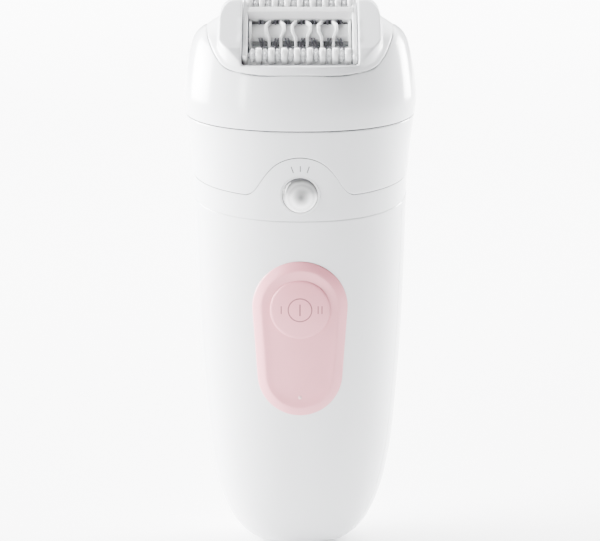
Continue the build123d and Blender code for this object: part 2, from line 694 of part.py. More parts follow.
def barrel():
    core = rod_x(-BARREL_HALF, BARREL_HALF, BARREL_Y, BARREL_Z, CORE_R)
    hub = rod_x(BARREL_HALF, GEAR_X, BARREL_Y, BARREL_Z, 3.4)
    form = core + hub
    for x in (-BARREL_HALF, BARREL_HALF - 0.6):
        form = form + rod_x(x, x + 0.6, BARREL_Y, BARREL_Z, CORE_R + 0.8)
    for number in range(-1, STATIONS):
        x = station(number) + 2.2
        form = form + rod_x(x - 0.45, x + 0.45, BARREL_Y, BARREL_Z, TWEEZER_R - 0.25)
    for row in range(ROWS):
        groove = block(-13.95, 13.95, -BAR_HALF - 0.06, BAR_HALF + 0.06, BAR_LOW - 0.05, 8)
        form = form - on_barrel(groove, row)
    for plate in fixed_plates():
        form = form - plate
    return form - rod_x(-20, 20, BARREL_Y, BARREL_Z, BARREL_AXLE_R + RUNNING_FIT)


def barrel_gear():
    gear = gear_x(BARREL_TEETH, MODULE, GEAR_X, GEAR_W, BARREL_Y, BARREL_Z, LEAN)
    return gear - rod_x(10, 30, BARREL_Y, BARREL_Z, BARREL_AXLE_R + RUNNING_FIT)


save(barrel(), "tweezer_barrel")
save(barrel_gear(), "barrel_gear")
save(group(fixed_plates()), "fixed_tweezers")
save(group(push_bars()), "sliding_tweezers")
save(rod_x(-21.5, 22.0, BARREL_Y, BARREL_Z, BARREL_AXLE_R), "barrel_axle")


# ---------------------------------------------------------------- massage cap and rollers
FIN_W = 1.75
FRONT_ROLLERS = [-13.33 + FRONT_PITCH * i for i in range(ROW_COUNT)]
FRONT_FINS = [-11.54 + FRONT_PITCH * i for i in range(ROW_COUNT)]
REAR_ROLLERS = [(i - (ROW_COUNT - 1) / 2) * REAR_PITCH for i in range(ROW_COUNT)]
REAR_FINS = [(i - ROW_COUNT / 2) * REAR_PITCH for i in range(ROW_COUNT + 1)]
CAP_TOP = 1.8


def fin(x, s, low):
    top = face_rod(x - FIN_W / 2, x + FIN_W / 2, s, 0, ROLLER_R + 0.1)
    stalk = face_box(x - FIN_W / 2, x + FIN_W / 2, s - 1.2, s + 1.2, low, 0)
    return top + stalk


def massage_cap():
    low_bar = -3.35
    cap = face_box(-CAP_HALF, CAP_HALF, -ROW - 2.1, -ROW + 1.5, low_bar, low_bar + 1.0)
    for side in (-1, 1):
        x0, x1 = sorted((side * 14.75, side * CAP_HALF))
        cap = cap + face_box(x0, x1, -ROW - 2.1, 13.2, -1.0, CAP_TOP - 0.2)
        cap = cap + face_box(x0, x1, -ROW - 2.1, -ROW + 2.1, low_bar, CAP_TOP)
    rear = face_box(-CAP_HALF, CAP_HALF, 4.3, 13.2, -1.7, CAP_TOP)
    edge = Pos(0, FACE_Y, FACE_Z) * Rot(TILT, 0, 0) * Pos(0, 4.3, CAP_TOP)
    bevel = edge * Rot(45, 0, 0) * Box(29.4, 1.3, 1.3)
    rear = rear - bevel - face_box(-14.75, 14.75, ROW - 2.4, ROW + 2.4, -1.0, 5)
    cap = cap + rear
    for x in FRONT_FINS:
        cap = cap + fin(x, -ROW, low_bar + 0.5)
    for x in REAR_FINS:
        cap = cap + (fin(x, ROW, -1.2) & face_box(-15, 15, 0, 20, -5, 5))
    cap = cap - face_rod(-14.75, 14.75, 0, -BARREL_DROP, TWEEZER_R + 0.35)
    for s, spots in ((-ROW, FRONT_ROLLERS), (ROW, REAR_ROLLERS)):
        for x in spots:
            half = ROLLER_W / 2 + 0.12
            cap = cap - face_rod(x - half, x + half, s, 0, ROLLER_R + 0.22)
        cap = cap - face_rod(-15.5, 15.5, s, 0, AXLE_R)
    return cap


def roller(x, s):
    """Small massage wheel with eight blunt nubs."""
    y = FACE_Y + s * COSINE
    z = FACE_Z + s * SINE
    wheel = gear_x(8, 0.42, x - ROLLER_W / 2, ROLLER_W, y, z, 0)
    wheel = wheel & rod_x(x - ROLLER_W / 2, x + ROLLER_W / 2, y, z, ROLLER_R)
    return wheel - rod_x(x - 2, x + 2, y, z, ROLLER_BORE)


save(massage_cap(), "massage_cap")
save(group([face_rod(-15.5, 15.5, s, 0, AXLE_R) for s in (-ROW, ROW)]), "roller_axles")
for number, x in enumerate(FRONT_ROLLERS):
    save(roller(x, -ROW), f"front_roller_{number + 1}")
for number, x in enumerate(REAR_ROLLERS):
    save(roller(x, ROW), f"rear_roller_{number + 1}")
print("parts", len(os.listdir("parts")))
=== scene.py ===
import json
import math

import bmesh
import bpy
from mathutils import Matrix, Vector


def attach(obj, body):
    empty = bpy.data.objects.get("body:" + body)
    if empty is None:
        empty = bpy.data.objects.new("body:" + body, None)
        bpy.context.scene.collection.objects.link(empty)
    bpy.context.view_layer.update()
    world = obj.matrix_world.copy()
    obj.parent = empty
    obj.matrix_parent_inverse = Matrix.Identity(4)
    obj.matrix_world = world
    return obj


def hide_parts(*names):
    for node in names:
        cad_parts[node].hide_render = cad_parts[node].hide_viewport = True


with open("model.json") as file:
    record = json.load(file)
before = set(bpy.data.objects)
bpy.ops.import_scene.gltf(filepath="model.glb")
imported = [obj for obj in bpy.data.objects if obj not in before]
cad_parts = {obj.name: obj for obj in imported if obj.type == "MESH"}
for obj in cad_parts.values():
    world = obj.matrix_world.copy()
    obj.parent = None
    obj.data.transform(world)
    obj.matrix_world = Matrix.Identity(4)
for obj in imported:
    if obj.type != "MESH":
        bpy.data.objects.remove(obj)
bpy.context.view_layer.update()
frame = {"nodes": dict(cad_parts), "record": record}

MM = 0.001

# ---------------------------------------------------------------- shared dimensions, in millimetres
# The body's outline: height, half width, half depth.
OUTLINE = [
    (0.0, 11.0, 8.0),
    (0.9, 13.6, 9.8),
    (2.4, 15.9, 11.2),
    (5.7, 19.0, 13.2),
    (10.5, 21.7, 15.0),
    (17.1, 24.1, 16.6),
    (28.4, 26.5, 18.2),
    (45.0, 28.2, 19.3),
    (65.0, 29.55, 20.0),
    (88.0, 30.4, 20.5),
    (106.0, 30.85, 21.1),
    (118.0, 31.55, 21.5),
    (127.0, 32.6, 21.8),
    (133.2, 33.4, 21.9),
    (138.0, 33.05, 21.4),
    (143.5, 32.2, 19.9),
    (147.5, 31.3, 18.1),
    (150.4, 30.3, 16.1),
    (152.4, 28.9, 13.9),
    (154.0, 26.6, 11.4),
    (155.6, 22.0, 8.0),
]
# Power of the body's superellipse, and the Y from which the sloping seams rise.
ROUND = 2.25
OVAL = 2 / ROUND
FRONT = 21.2
# Seams: height at the front, slope in degrees.
COLLAR_SEAM = (100.6, 13.8)
HEAD_SEAM = (107.4, 13.2)
SKIRT_SEAM = (126.5, 7.2)
# Half of the arch over the lamp: X from the middle, height above the head's seam at the front.
HUMP = [
    (15.2, 0.55),
    (14.0, 0.96),
    (12.35, 2.5),
    (10.55, 5.2),
    (8.5, 7.8),
    (6.2, 9.75),
    (3.2, 11.02),
    (0.0, 11.45),
]
# Half of the rim between the two shoulders: X from the middle, height.
CRADLE = [(0.0, 141.9), (16.6, 142.4), (21.65, 144.1), (24.5, 147.8), (26.0, 151.1), (27.4, 156.0)]
SPLIT_Y = -7.6
INLET_LONG, INLET_WIDE = 13.3, 8.3
WALL = 1.9
# Switch pad: height and radius of its upper and lower round ends.
PAD_TOP = (75.45, 13.6)
PAD_LOW = (55.45, 12.2)
PAD_LIFT = 0.78
BUTTON_Z, BUTTON_R = 75.1, 8.55
LAMP_Z, LAMP_R = 108.2, 5.6
# Working head: its tilted frame, and how far the barrel's axis lies below it.
TILT = math.radians(38.0)
FACE_Y, FACE_Z = -6.1, 152.95
BARREL_DROP = 5.5
TWEEZER_PITCH, TWEEZER_GAP = 3.7, 0.85
FRONT_PITCH, REAR_PITCH = 3.575, 3.6


# ---------------------------------------------------------------- curves
def slope_at(points, index, column):
    """Slope of the smooth curve at one of its points."""
    before = points[max(index - 1, 0)]
    after = points[min(index + 1, len(points) - 1)]
    here = points[index]
    if before is here or after is here:
        return (after[column] - before[column]) / (after[0] - before[0])
    left, right = here[0] - before[0], after[0] - here[0]
    left_slope = (here[column] - before[column]) / left
    right_slope = (after[column] - here[column]) / right
    return (left_slope * right + right_slope * left) / (left + right)


def follow(points, at, column=1):
    """Value of a smooth curve through the points."""
    at = min(max(at, points[0][0]), points[-1][0])
    index = max(i for i, point in enumerate(points[:-1]) if point[0] <= at)
    low, high = points[index], points[index + 1]
    span = high[0] - low[0]
    t = (at - low[0]) / span
    value = (1 + 2 * t) * (1 - t) ** 2 * low[column] + t * t * (3 - 2 * t) * high[column]
    value += t * (1 - t) ** 2 * span * slope_at(points, index, column)
    return value + t * t * (t - 1) * span * slope_at(points, index + 1, column)


def on_body(angle, height, lift=0.0):
    """Point on the outer surface; angle is the oval's own parameter, -90 degrees at the front."""
    width, depth = follow(OUTLINE, height, 1) + lift, follow(OUTLINE, height, 2) + lift
    c, s = math.cos(angle), math.sin(angle)
    return (
        width * math.copysign(abs(c) ** OVAL, c),
        depth * math.copysign(abs(s) ** OVAL, s),
        height,
    )


def front_y(x, height, lift=0.0):
    """Y of the body's front surface at this x and height."""
    width, depth = follow(OUTLINE, height, 1) + lift, follow(OUTLINE, height, 2) + lift
    rest = max(0.0, 1 - abs(x / width) ** ROUND)
    return -depth * rest ** (1 / ROUND)


def seam_height(seam, x, y):
    """Height of a sloping seam at this place; the seam is (height at the front, slope)."""
    return seam[0] + (y + FRONT) * math.tan(math.radians(seam[1]))


def hump_curve():
    """Arch over the lamp from its foot to its top, (x, height) pairs on a spline through HUMP."""
    last = len(HUMP) - 1
    spans = [math.dist(here, after) for here, after in zip(HUMP, HUMP[1:])]
    speeds = [[0.0, 0.0] for _ in HUMP]
    speeds[0] = [-0.965, 0.262]
    speeds[last] = [-1.0, 0.0]
    for _ in range(60):
        for i in range(1, last):
            before, after = spans[i - 1], spans[i]
            for k in (0, 1):
                rise = (HUMP[i][k] - HUMP[i - 1][k]) / before**2
                fall = (HUMP[i + 1][k] - HUMP[i][k]) / after**2
                pull = 3 * (rise + fall)
                pull -= speeds[i - 1][k] / before + speeds[i + 1][k] / after
                speeds[i][k] = pull / (2 / before + 2 / after)
    curve = []
    for i in range(last):
        for step in range(40):
            t = step / 40
            point = []
            for k in (0, 1):
                value = (1 + 2 * t) * (1 - t) ** 2 * HUMP[i][k] + t * t * (3 - 2 * t) * HUMP[i + 1][k]
                value += spans[i] * (t * (1 - t) ** 2 * speeds[i][k] + t * t * (t - 1) * speeds[i + 1][k])
                point.append(value)
            curve.append(tuple(point))
    return curve + [HUMP[last]]


def collar_top(x, y):
    """Height of the head's lower edge: the sloping seam, and the arch over the lamp at the front."""
    plane = seam_height(HEAD_SEAM, x, y)
    if y > -8 or abs(x) > HUMP[0][0]:
        return plane
    for low, high in zip(HUMP_CURVE, HUMP_CURVE[1:]):
        if high[0] <= abs(x) <= low[0]:
            share = (low[0] - abs(x)) / max(1e-9, low[0] - high[0])
            return max(plane, HEAD_SEAM[0] + low[1] + (high[1] - low[1]) * share)
    return HEAD_SEAM[0] + HUMP[-1][1]


def cradle_top(x, y):
    """Height of the rim the working head lies in; beyond its ends the surface closes over."""
    if abs(x) > CRADLE[-1][0]:
        return 999.0
    return follow(CRADLE, abs(x))


def meet(angle_at, limit, low, high):
    """Height at which the surface crosses a seam, by halving."""
    for _ in range(26):
        middle = (low + high) / 2
        x, y, _z = on_body(angle_at(middle), middle)
        if middle < limit(x, y):
            low = middle
        else:
            high = middle
    return (low + high) / 2


HUMP_CURVE = hump_curve()


# ---------------------------------------------------------------- mesh helpers
def add_mesh(name, points, faces, material, body, slot=None, smooth=35.0):
    """Object from points in millimetres that rides a body; edges sharper than smooth stay crisp."""
    mesh = bpy.data.meshes.new(name)
    mesh.from_pydata([tuple(v * MM for v in point) for point in points], [], faces)
    work = bmesh.new()
    work.from_mesh(mesh)
    bmesh.ops.remove_doubles(work, verts=work.verts, dist=2e-6)
    bmesh.ops.recalc_face_normals(work, faces=work.faces)
    work.to_mesh(mesh)
    work.free()
    piece = bpy.data.objects.new(name, mesh)
    bpy.context.scene.collection.objects.link(piece)
    for polygon in mesh.polygons:
        polygon.use_smooth = True
    mesh.set_sharp_from_angle(angle=math.radians(smooth))
    mesh.materials.append(material)
    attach(piece, body)
    return piece


def grid_faces(rows, columns, close_columns, close_rows=False):
    """Faces of a grid of points stored row by row."""
    faces = []
    for row in range(rows if close_rows else rows - 1):
        for column in range(columns if close_columns else columns - 1):
            a = row * columns + column
            b = row * columns + (column + 1) % columns
            c = ((row + 1) % rows) * columns + (column + 1) % columns
            d = ((row + 1) % rows) * columns + column
            faces.append((a, b, c, d))
    return faces


def edge_steps(length, count):
    """Distances along a strip whose two ends are rounded over: (distance, lift)."""
    round_over = [(0.0, -WALL), (0.0, -0.22), (0.06, -0.08), (0.18, -0.015), (0.4, 0.0)]
    middle = [(0.4 + (length - 0.8) * i / count, 0.0) for i in range(1, count)]
    end = [(length - distance, lift) for distance, lift in reversed(round_over)]
    return round_over + middle + end


def ring_band(name, low_limit, high_limit, gap, material, body, low, high, rows=26, columns=288):
    """Closed ring of wall between two seams, its edges rounded over."""
    points = []
    strips = []
    for column in range(columns):
        angle = 2 * math.pi * column / columns
        bottom = meet(lambda h: angle, low_limit, low, high) + gap
        top = meet(lambda h: angle, high_limit, low, high) - gap
        strip = [(bottom + distance, inset) for distance, inset in edge_steps(top - bottom, rows)]
        strips.append([on_body(angle, height, inset) for height, inset in strip])
    for row in range(len(strips[0])):
        points += [strip[row] for strip in strips]
    faces = grid_faces(len(strips[0]), columns, True, close_rows=True)
    return add_mesh(name, points, faces, material, body)


def inlet_edge(angle):
    """Point on the rounded slot in the base, seen from the middle at this angle."""
    c, s = math.cos(angle), math.sin(angle)
    straight = (INLET_LONG - INLET_WIDE) / 2
    radius = INLET_WIDE / 2
    if abs(s) > 1e-9 and abs(c / s) * radius <= straight:
        return radius * c / abs(s), math.copysign(radius, s)
    reach = straight * abs(c) + math.sqrt(radius**2 - (straight * s) ** 2)
    return reach * c, reach * s


def handle_tube():
    """Points and faces of the handle's whole wall, from the base up to the collar's seam."""
    columns, rows = 360, 110
    strips = []
    for column in range(columns):
        angle = 2 * math.pi * column / columns
        top = meet(lambda h: angle, lambda x, y: seam_height(COLLAR_SEAM, x, y), 60.0, 125.0) - 0.07
        hole = inlet_edge(angle)
        strip = [(hole[0], hole[1], WALL), (hole[0], hole[1], 0.0)]
        base = on_body(angle, 0.0)
        strip += [(base[0] * share, base[1] * share, 0.0) for share in (0.9, 0.99)]
        climb = [0.9 * (step / 12) ** 1.6 for step in range(1, 12)]
        climb += [0.9 + (top - 1.4) * (step / rows) ** 1.25 for step in range(rows + 1)]
        strip += [on_body(angle, height) for height in climb]
        round_over = [(0.4, 0.0), (0.18, -0.015), (0.06, -0.08), (0.0, -0.22), (0.0, -WALL)]
        strip += [on_body(angle, top - drop, lift) for drop, lift in round_over]
        strip += [on_body(angle, WALL + (top - 1 - WALL) * (1 - step / 30), -WALL) for step in range(31)]
        strips.append(strip)
    points = [strips[column][row] for row in range(len(strips[0])) for column in range(columns)]
    return points, grid_faces(len(strips[0]), columns, True, close_rows=True)


def half_handle(name, front):
    """The handle's wall on one side of the split, its cut closed off."""
    points, faces = handle_tube()
    piece = add_mesh(name, points, faces, WHITE, "handle", "body_white")
    work = bmesh.new()
    work.from_mesh(piece.data)
    y = (SPLIT_Y + (-0.06 if front else 0.06)) * MM
    normal = (0, 1, 0) if front else (0, -1, 0)
    everything = work.verts[:] + work.edges[:] + work.faces[:]
    cut = bmesh.ops.bisect_plane(work, geom=everything, plane_co=(0, y, 0), plane_no=normal, clear_outer=True)
    rim = [item for item in cut["geom_cut"] if isinstance(item, bmesh.types.BMEdge)]
    bmesh.ops.edgenet_fill(work, edges=rim)
    bmesh.ops.recalc_face_normals(work, faces=work.faces)
    work.to_mesh(piece.data)
    work.free()
    for polygon in piece.data.polygons:
        polygon.use_smooth = True
    piece.data.set_sharp_from_angle(angle=math.radians(35))
    return piece


# ---------------------------------------------------------------- materials
def node_material(
    name, color, roughness, metallic=0.0, coat=0.0, speckle=0.0, bump=0.0, scale=900.0, extra=None
):
    """Principled material with fine mottling in colour, gloss and surface."""
    material = bpy.data.materials.new(name)
    material.use_nodes = True
    nodes, links = material.node_tree.nodes, material.node_tree.links
    shader = nodes["Principled BSDF"]
    shader.inputs["Metallic"].default_value = metallic
    shader.inputs["Coat Weight"].default_value = coat
    shader.inputs["Coat Roughness"].default_value = 0.08
    for socket, value in (extra or {}).items():
        shader.inputs[socket].default_value = value
    place = nodes.new("ShaderNodeTexCoord")
    fine = nodes.new("ShaderNodeTexNoise")
    fine.inputs["Scale"].default_value = scale
    fine.inputs["Detail"].default_value = 4.0
    broad = nodes.new("ShaderNodeTexNoise")
    broad.inputs["Scale"].default_value = 45.0
    broad.inputs["Detail"].default_value = 2.0
    links.new(place.outputs["Object"], fine.inputs["Vector"])
    links.new(place.outputs["Object"], broad.inputs["Vector"])
    tone = nodes.new("ShaderNodeMapRange")
    tone.inputs["To Min"].default_value = 1.0 - speckle
    tone.inputs["To Max"].default_value = 1.0 + speckle * 0.4
    links.new(broad.outputs["Fac"], tone.inputs["Value"])
    shade = nodes.new("ShaderNodeVectorMath")
    shade.operation = "SCALE"
    shade.inputs[0].default_value = color[:3]
    links.new(tone.outputs["Result"], shade.inputs["Scale"])
    links.new(shade.outputs["Vector"], shader.inputs["Base Color"])
    gloss = nodes.new("ShaderNodeMapRange")
    gloss.inputs["To Min"].default_value = roughness * 0.88
    gloss.inputs["To Max"].default_value = roughness * 1.12
    links.new(fine.outputs["Fac"], gloss.inputs["Value"])
    links.new(gloss.outputs["Result"], shader.inputs["Roughness"])
    if bump:
        relief = nodes.new("ShaderNodeBump")
        relief.inputs["Strength"].default_value = bump
        relief.inputs["Distance"].default_value = 0.00002
        links.new(fine.outputs["Fac"], relief.inputs["Height"])
        links.new(relief.outputs["Normal"], shader.inputs["Normal"])
    return material


WHITE = node_material("body_white", (0.60, 0.61, 0.625), 0.2, coat=0.35, speckle=0.01, bump=0.02)
HEAD_WHITE = node_material("head_white", (0.64, 0.65, 0.665), 0.3, coat=0.15, speckle=0.01, bump=0.04)
PINK = node_material("pad_pink", (0.58, 0.22, 0.262), 0.36, coat=0.1, speckle=0.02, bump=0.08, scale=2500.0)
MARK = node_material("mark_grey", (0.09, 0.093, 0.1), 0.5, speckle=0.05)
CAP_WHITE = node_material("cap_white", (0.78, 0.785, 0.79), 0.3, coat=0.1, speckle=0.02, bump=0.05)
STEEL = node_material("steel", (0.5, 0.5, 0.52), 0.3, metallic=1.0, speckle=0.05, bump=0.1)
TWEEZER = node_material("tweezer_steel", (0.22, 0.22, 0.24), 0.35, metallic=1.0, speckle=0.08, bump=0.1)
CHROME = node_material("reflector", (0.72, 0.73, 0.74), 0.12, metallic=1.0, speckle=0.03)
GLASSY = {"Transmission Weight": 0.85, "IOR": 1.49}
CLEAR = node_material("lens_clear", (0.9, 0.92, 0.93), 0.06, speckle=0.01, extra=GLASSY)
GEAR = node_material("gear_white", (0.7, 0.7, 0.66), 0.45, speckle=0.03, bump=0.08)
GREY = node_material("inner_grey", (0.12, 0.125, 0.13), 0.5, speckle=0.06, bump=0.15)
BOARD = node_material("board_green", (0.02, 0.12, 0.06), 0.35, speckle=0.1, bump=0.1)
CELL = node_material("cell_wrap", (0.06, 0.13, 0.28), 0.3, speckle=0.04)
CONTACT = node_material("contact_metal", (0.6, 0.5, 0.3), 0.3, metallic=1.0, speckle=0.05)
LED = node_material("led", (0.8, 0.76, 0.6), 0.3, speckle=0.03)
BLACK = node_material("socket_black", (0.02, 0.02, 0.022), 0.45, speckle=0.05, bump=0.15)
BUTTON_WHITE = node_material("button_white", (0.78, 0.785, 0.79), 0.32, coat=0.1, speckle=0.01, bump=0.05)
MARK_PINK = node_material("mark_pink", (0.16, 0.06, 0.07), 0.45, speckle=0.03)
ROLLER = node_material("roller_white", (0.72, 0.73, 0.74), 0.22, coat=0.3, speckle=0.02, bump=0.03)
# Near-black for the bands under the seams: painted shade for the shadow in the gaps.
SEAM_SHADOW = node_material("seam_shadow_dark", (0.012, 0.012, 0.013), 0.8, speckle=0.05, bump=0.1)
GREY_BAR = node_material("push_bar_grey", (0.32, 0.325, 0.33), 0.4, speckle=0.04, bump=0.05)
RIM = node_material("lamp_rim", (0.2, 0.205, 0.21), 0.14, metallic=1.0, speckle=0.03)
PILOT = node_material("pilot_lens", (0.55, 0.32, 0.33), 0.15, coat=0.5, speckle=0.02)


def dome_painted_highlights():
    """Clear lens over a reflector, its base colour in rings by distance from the middle: dark heart, bright
    rings that are painted highlights, grey edge.
    """
    material = node_material("lamp_dome_painted_highlights", (0.8, 0.8, 0.81), 0.12, metallic=0.55, coat=0.8, speckle=0.02)
    nodes, links = material.node_tree.nodes, material.node_tree.links
    shader = nodes["Principled BSDF"]
    place = nodes.new("ShaderNodeTexCoord")
    centre = nodes.new("ShaderNodeVectorMath")
    centre.operation = "DISTANCE"
    centre.inputs[1].default_value = (0.0003, front_y(0, LAMP_Z) * MM, (LAMP_Z - 0.5) * MM)
    ramp = nodes.new("ShaderNodeValToRGB")
    # Base colour by distance from the middle; the bright steps are painted highlights of the reflector.
    tone_and_highlight_rings = [(0.0, 0.06), (0.2, 0.08), (0.44, 0.45), (0.62, 0.9), (0.76, 0.6), (0.86, 0.8), (1.0, 0.22)]
    points = ramp.color_ramp.elements
    while len(points) < len(tone_and_highlight_rings):
        points.new(0.5)
    for point, (at, shade) in zip(points, tone_and_highlight_rings):
        point.position = at
        point.color = (shade, shade * 1.005, shade * 1.01, 1.0)
    reach = nodes.new("ShaderNodeMapRange")
    reach.inputs["From Max"].default_value = 5.3 * MM
    swirl = nodes.new("ShaderNodeTexNoise")
    swirl.inputs["Scale"].default_value = 260.0
    swirl.inputs["Detail"].default_value = 1.0
    push = nodes.new("ShaderNodeMath")
    push.operation = "MULTIPLY_ADD"
    push.inputs[1].default_value = 0.16
    links.new(place.outputs["Object"], centre.inputs[0])
    links.new(place.outputs["Object"], swirl.inputs["Vector"])
    links.new(centre.outputs["Value"], reach.inputs["Value"])
    links.new(swirl.outputs["Fac"], push.inputs[0])
    links.new(reach.outputs["Result"], push.inputs[2])
    links.new(push.outputs["Value"], ramp.inputs["Fac"])
    links.new(ramp.outputs["Color"], shader.inputs["Base Color"])
    return material


DOME = dome_painted_highlights()

SLOT_LOOKS = {
    "body_white": WHITE,
    "head_white": HEAD_WHITE,
    "pad_pink": PINK,
    "cap_white": CAP_WHITE,
    "button_white": BUTTON_WHITE,
    "steel": STEEL,
    "tweezer_steel": TWEEZER,
    "lens_clear": CLEAR,
    "reflector": CHROME,
    "gear_white": GEAR,
    "inner_grey": GREY,
    "board_green": BOARD,
    "cell_wrap": CELL,
    "contact_metal": CONTACT,
    "led": LED,
    "socket_black": BLACK,
}


def dress_nodes():
    """Give every CAD node the look of its slot in the record."""
    for entry in frame["record"]["subparts"]:
        node = frame["nodes"][entry["node"]]
        node.data.materials.clear()
        node.data.materials.append(SLOT_LOOKS[entry["material_slot"]])


dress_nodes()


# ---------------------------------------------------------------- body skins
def build_skins():
    def skirt(x, y):
        return seam_height(SKIRT_SEAM, x, y)

    front = half_handle("front_shell_skin", True)
    rear = half_handle("rear_shell_skin", False)
    lower = ring_band(
        "head_skirt_skin", collar_top, skirt, 0.2, WHITE, "head", 95.0, 145.0, columns=600
    )
    upper = ring_band(
        "head_shell_skin", skirt, cradle_top, 0.07, WHITE, "head", 110.0, 155.5, rows=40, columns=360
    )
    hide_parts("front_shell")
    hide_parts("rear_shell")
    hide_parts("head_skirt")
    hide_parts("head_shell")


build_skins()


# ---------------------------------------------------------------- switch pad and button
def pad_outline(share):
    """Edge point and its anchor on the middle line, for a share of the way round the pad."""
    top_z, top_r = PAD_TOP
    low_z, low_r = PAD_LOW
    lean = math.asin((top_r - low_r) / (top_z - low_z))
    arc_top, arc_low = math.pi + 2 * lean, math.pi - 2 * lean
    side = (top_z - low_z) * math.cos(lean)
    lengths = [arc_top * top_r, side, arc_low * low_r, side]
    total = sum(lengths)
    run = share * total
    if run < lengths[0]:
        angle = math.pi + lean - run / top_r
        return (top_r * math.cos(angle), top_z + top_r * math.sin(angle)), (0.0, top_z)
    run -= lengths[0]
    if run < lengths[1]:
        t = run / lengths[1]
        normal = (math.cos(-lean), math.sin(-lean))
        radius = top_r + (low_r - top_r) * t
        z = top_z + (low_z - top_z) * t
        return (normal[0] * radius, z + normal[1] * radius), (0.0, z)
    run -= lengths[1]
    if run < lengths[2]:
        angle = -lean - run / low_r
        return (low_r * math.cos(angle), low_z + low_r * math.sin(angle)), (0.0, low_z)
    run -= lengths[2]
    t = run / lengths[3]
    normal = (-math.cos(lean), math.sin(-lean))
    radius = low_r + (top_r - low_r) * t
    z = low_z + (top_z - low_z) * t
    return (normal[0] * radius, z + normal[1] * radius), (0.0, z)


# The pad's swollen edge and dished middle: distance from the edge, height above the body.
PAD_PROFILE = [(0.0, -0.6), (0.0, 0.12), (0.08, 0.26), (0.3, 0.38), (1.0, 0.66), (1.8, 0.95), (2.3, 1.1)]
PAD_PROFILE += [(2.6, 1.14), (3.0, 1.1), (3.8, 0.95), (5.0, 0.82)]
PAD_PROFILE += [(distance, PAD_LIFT) for distance in (7.0, 9.5, 12.0)]


def build_pad():
    columns = 240
    points = []
    for distance, lift in PAD_PROFILE:
        for column in range(columns):
            edge, anchor = pad_outline(column / columns)
            reach = math.dist(edge, anchor)
            keep = max(0.0, 1 - distance / reach)
            x = anchor[0] + (edge[0] - anchor[0]) * keep
            z = anchor[1] + (edge[1] - anchor[1]) * keep
            points.append((x, front_y(x, z) - lift, z))
    for column in range(columns):
        _, anchor = pad_outline(column / columns)
        points.append((0.0, front_y(0, anchor[1]) - PAD_LIFT, anchor[1]))
    rows = len(PAD_PROFILE) + 1
    faces = grid_faces(rows, columns, True)
    pad = add_mesh("switch_pad_skin", points, faces, PINK, "handle", "pad_pink", smooth=50)
    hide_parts("switch_pad")


build_pad()


# ---------------------------------------------------------------- solids of turning, tubes and strips
def turned(name, profile, place, material, body, slot, columns=96, lean=0.0):
    """Closed solid turned about the Y axis through place; the profile is (radius, y) pairs.

    Lean pushes it back in proportion to the height above the place.
    """
    points = []
    for radius, y in profile:
        for column in range(columns):
            angle = 2 * math.pi * column / columns
            rise = radius * math.sin(angle)
            points.append((place[0] + radius * math.cos(angle), place[1] + y + lean * rise, place[2] + rise))
    faces = grid_faces(len(profile), columns, True)
    return add_mesh(name, points, faces, material, body, slot)


def inlay(name, path, width, surface, material, body, slot=None, closed=False, depth=0.05):
    """Thin mark that follows an (x, z) path and lies on surface(x, z), the Y of the skin under it."""
    points = []
    last = len(path) - 1
    for index, (x, z) in enumerate(path):
        before = path[index - 1] if index > 0 or closed else path[0]
        after = path[(index + 1) % len(path)] if index < last or closed else path[last]
        run = Vector((after[0] - before[0], after[1] - before[1])).normalized()
        for side in (-0.5, 0.5):
            px, pz = x - run.y * side * width, z + run.x * side * width
            y = surface(px, pz)
            points.append((px, y + 0.15, pz))
            points.append((px, y - depth, pz))
    faces = []
    count = len(path)
    for index in range(count if closed else count - 1):
        a = index * 4
        b = ((index + 1) % count) * 4
        faces += [(a, a + 1, b + 1, b), (a + 1, a + 3, b + 3, b + 1), (a + 3, a + 2, b + 2, b + 3)]
        faces.append((a + 2, a, b, b + 2))
    if not closed:
        faces += [(0, 2, 3, 1), (last * 4, last * 4 + 1, last * 4 + 3, last * 4 + 2)]
    return add_mesh(name, points, faces, material, body, slot)


def line(start, end, steps=8):
    """Evenly spaced points from start to end."""
    return [
        (start[0] + (end[0] - start[0]) * i / steps, start[1] + (end[1] - start[1]) * i / steps)
        for i in range(steps + 1)
    ]


# ---------------------------------------------------------------- power button, marks and pilot light
BUTTON_STAND = 0.95
BUTTON_FACE = front_y(0, BUTTON_Z) - BUTTON_STAND
BUTTON_DOME = 0.55
BUTTON_LEAN = (front_y(0, BUTTON_Z + 8) - front_y(0, BUTTON_Z - 8)) / 16
POWER_R = 3.35
PILOT_Z = 48.9


def button_y(x, z):
    """Y of the button's domed face."""
    reach = min(1.0, math.hypot(x, z - BUTTON_Z) / BUTTON_R)
    return BUTTON_FACE - BUTTON_DOME * (1 - reach**2) + BUTTON_LEAN * (z - BUTTON_Z)


def pad_y(x, z):
    """Y of the pad's dished middle."""
    return front_y(x, z) - PAD_LIFT


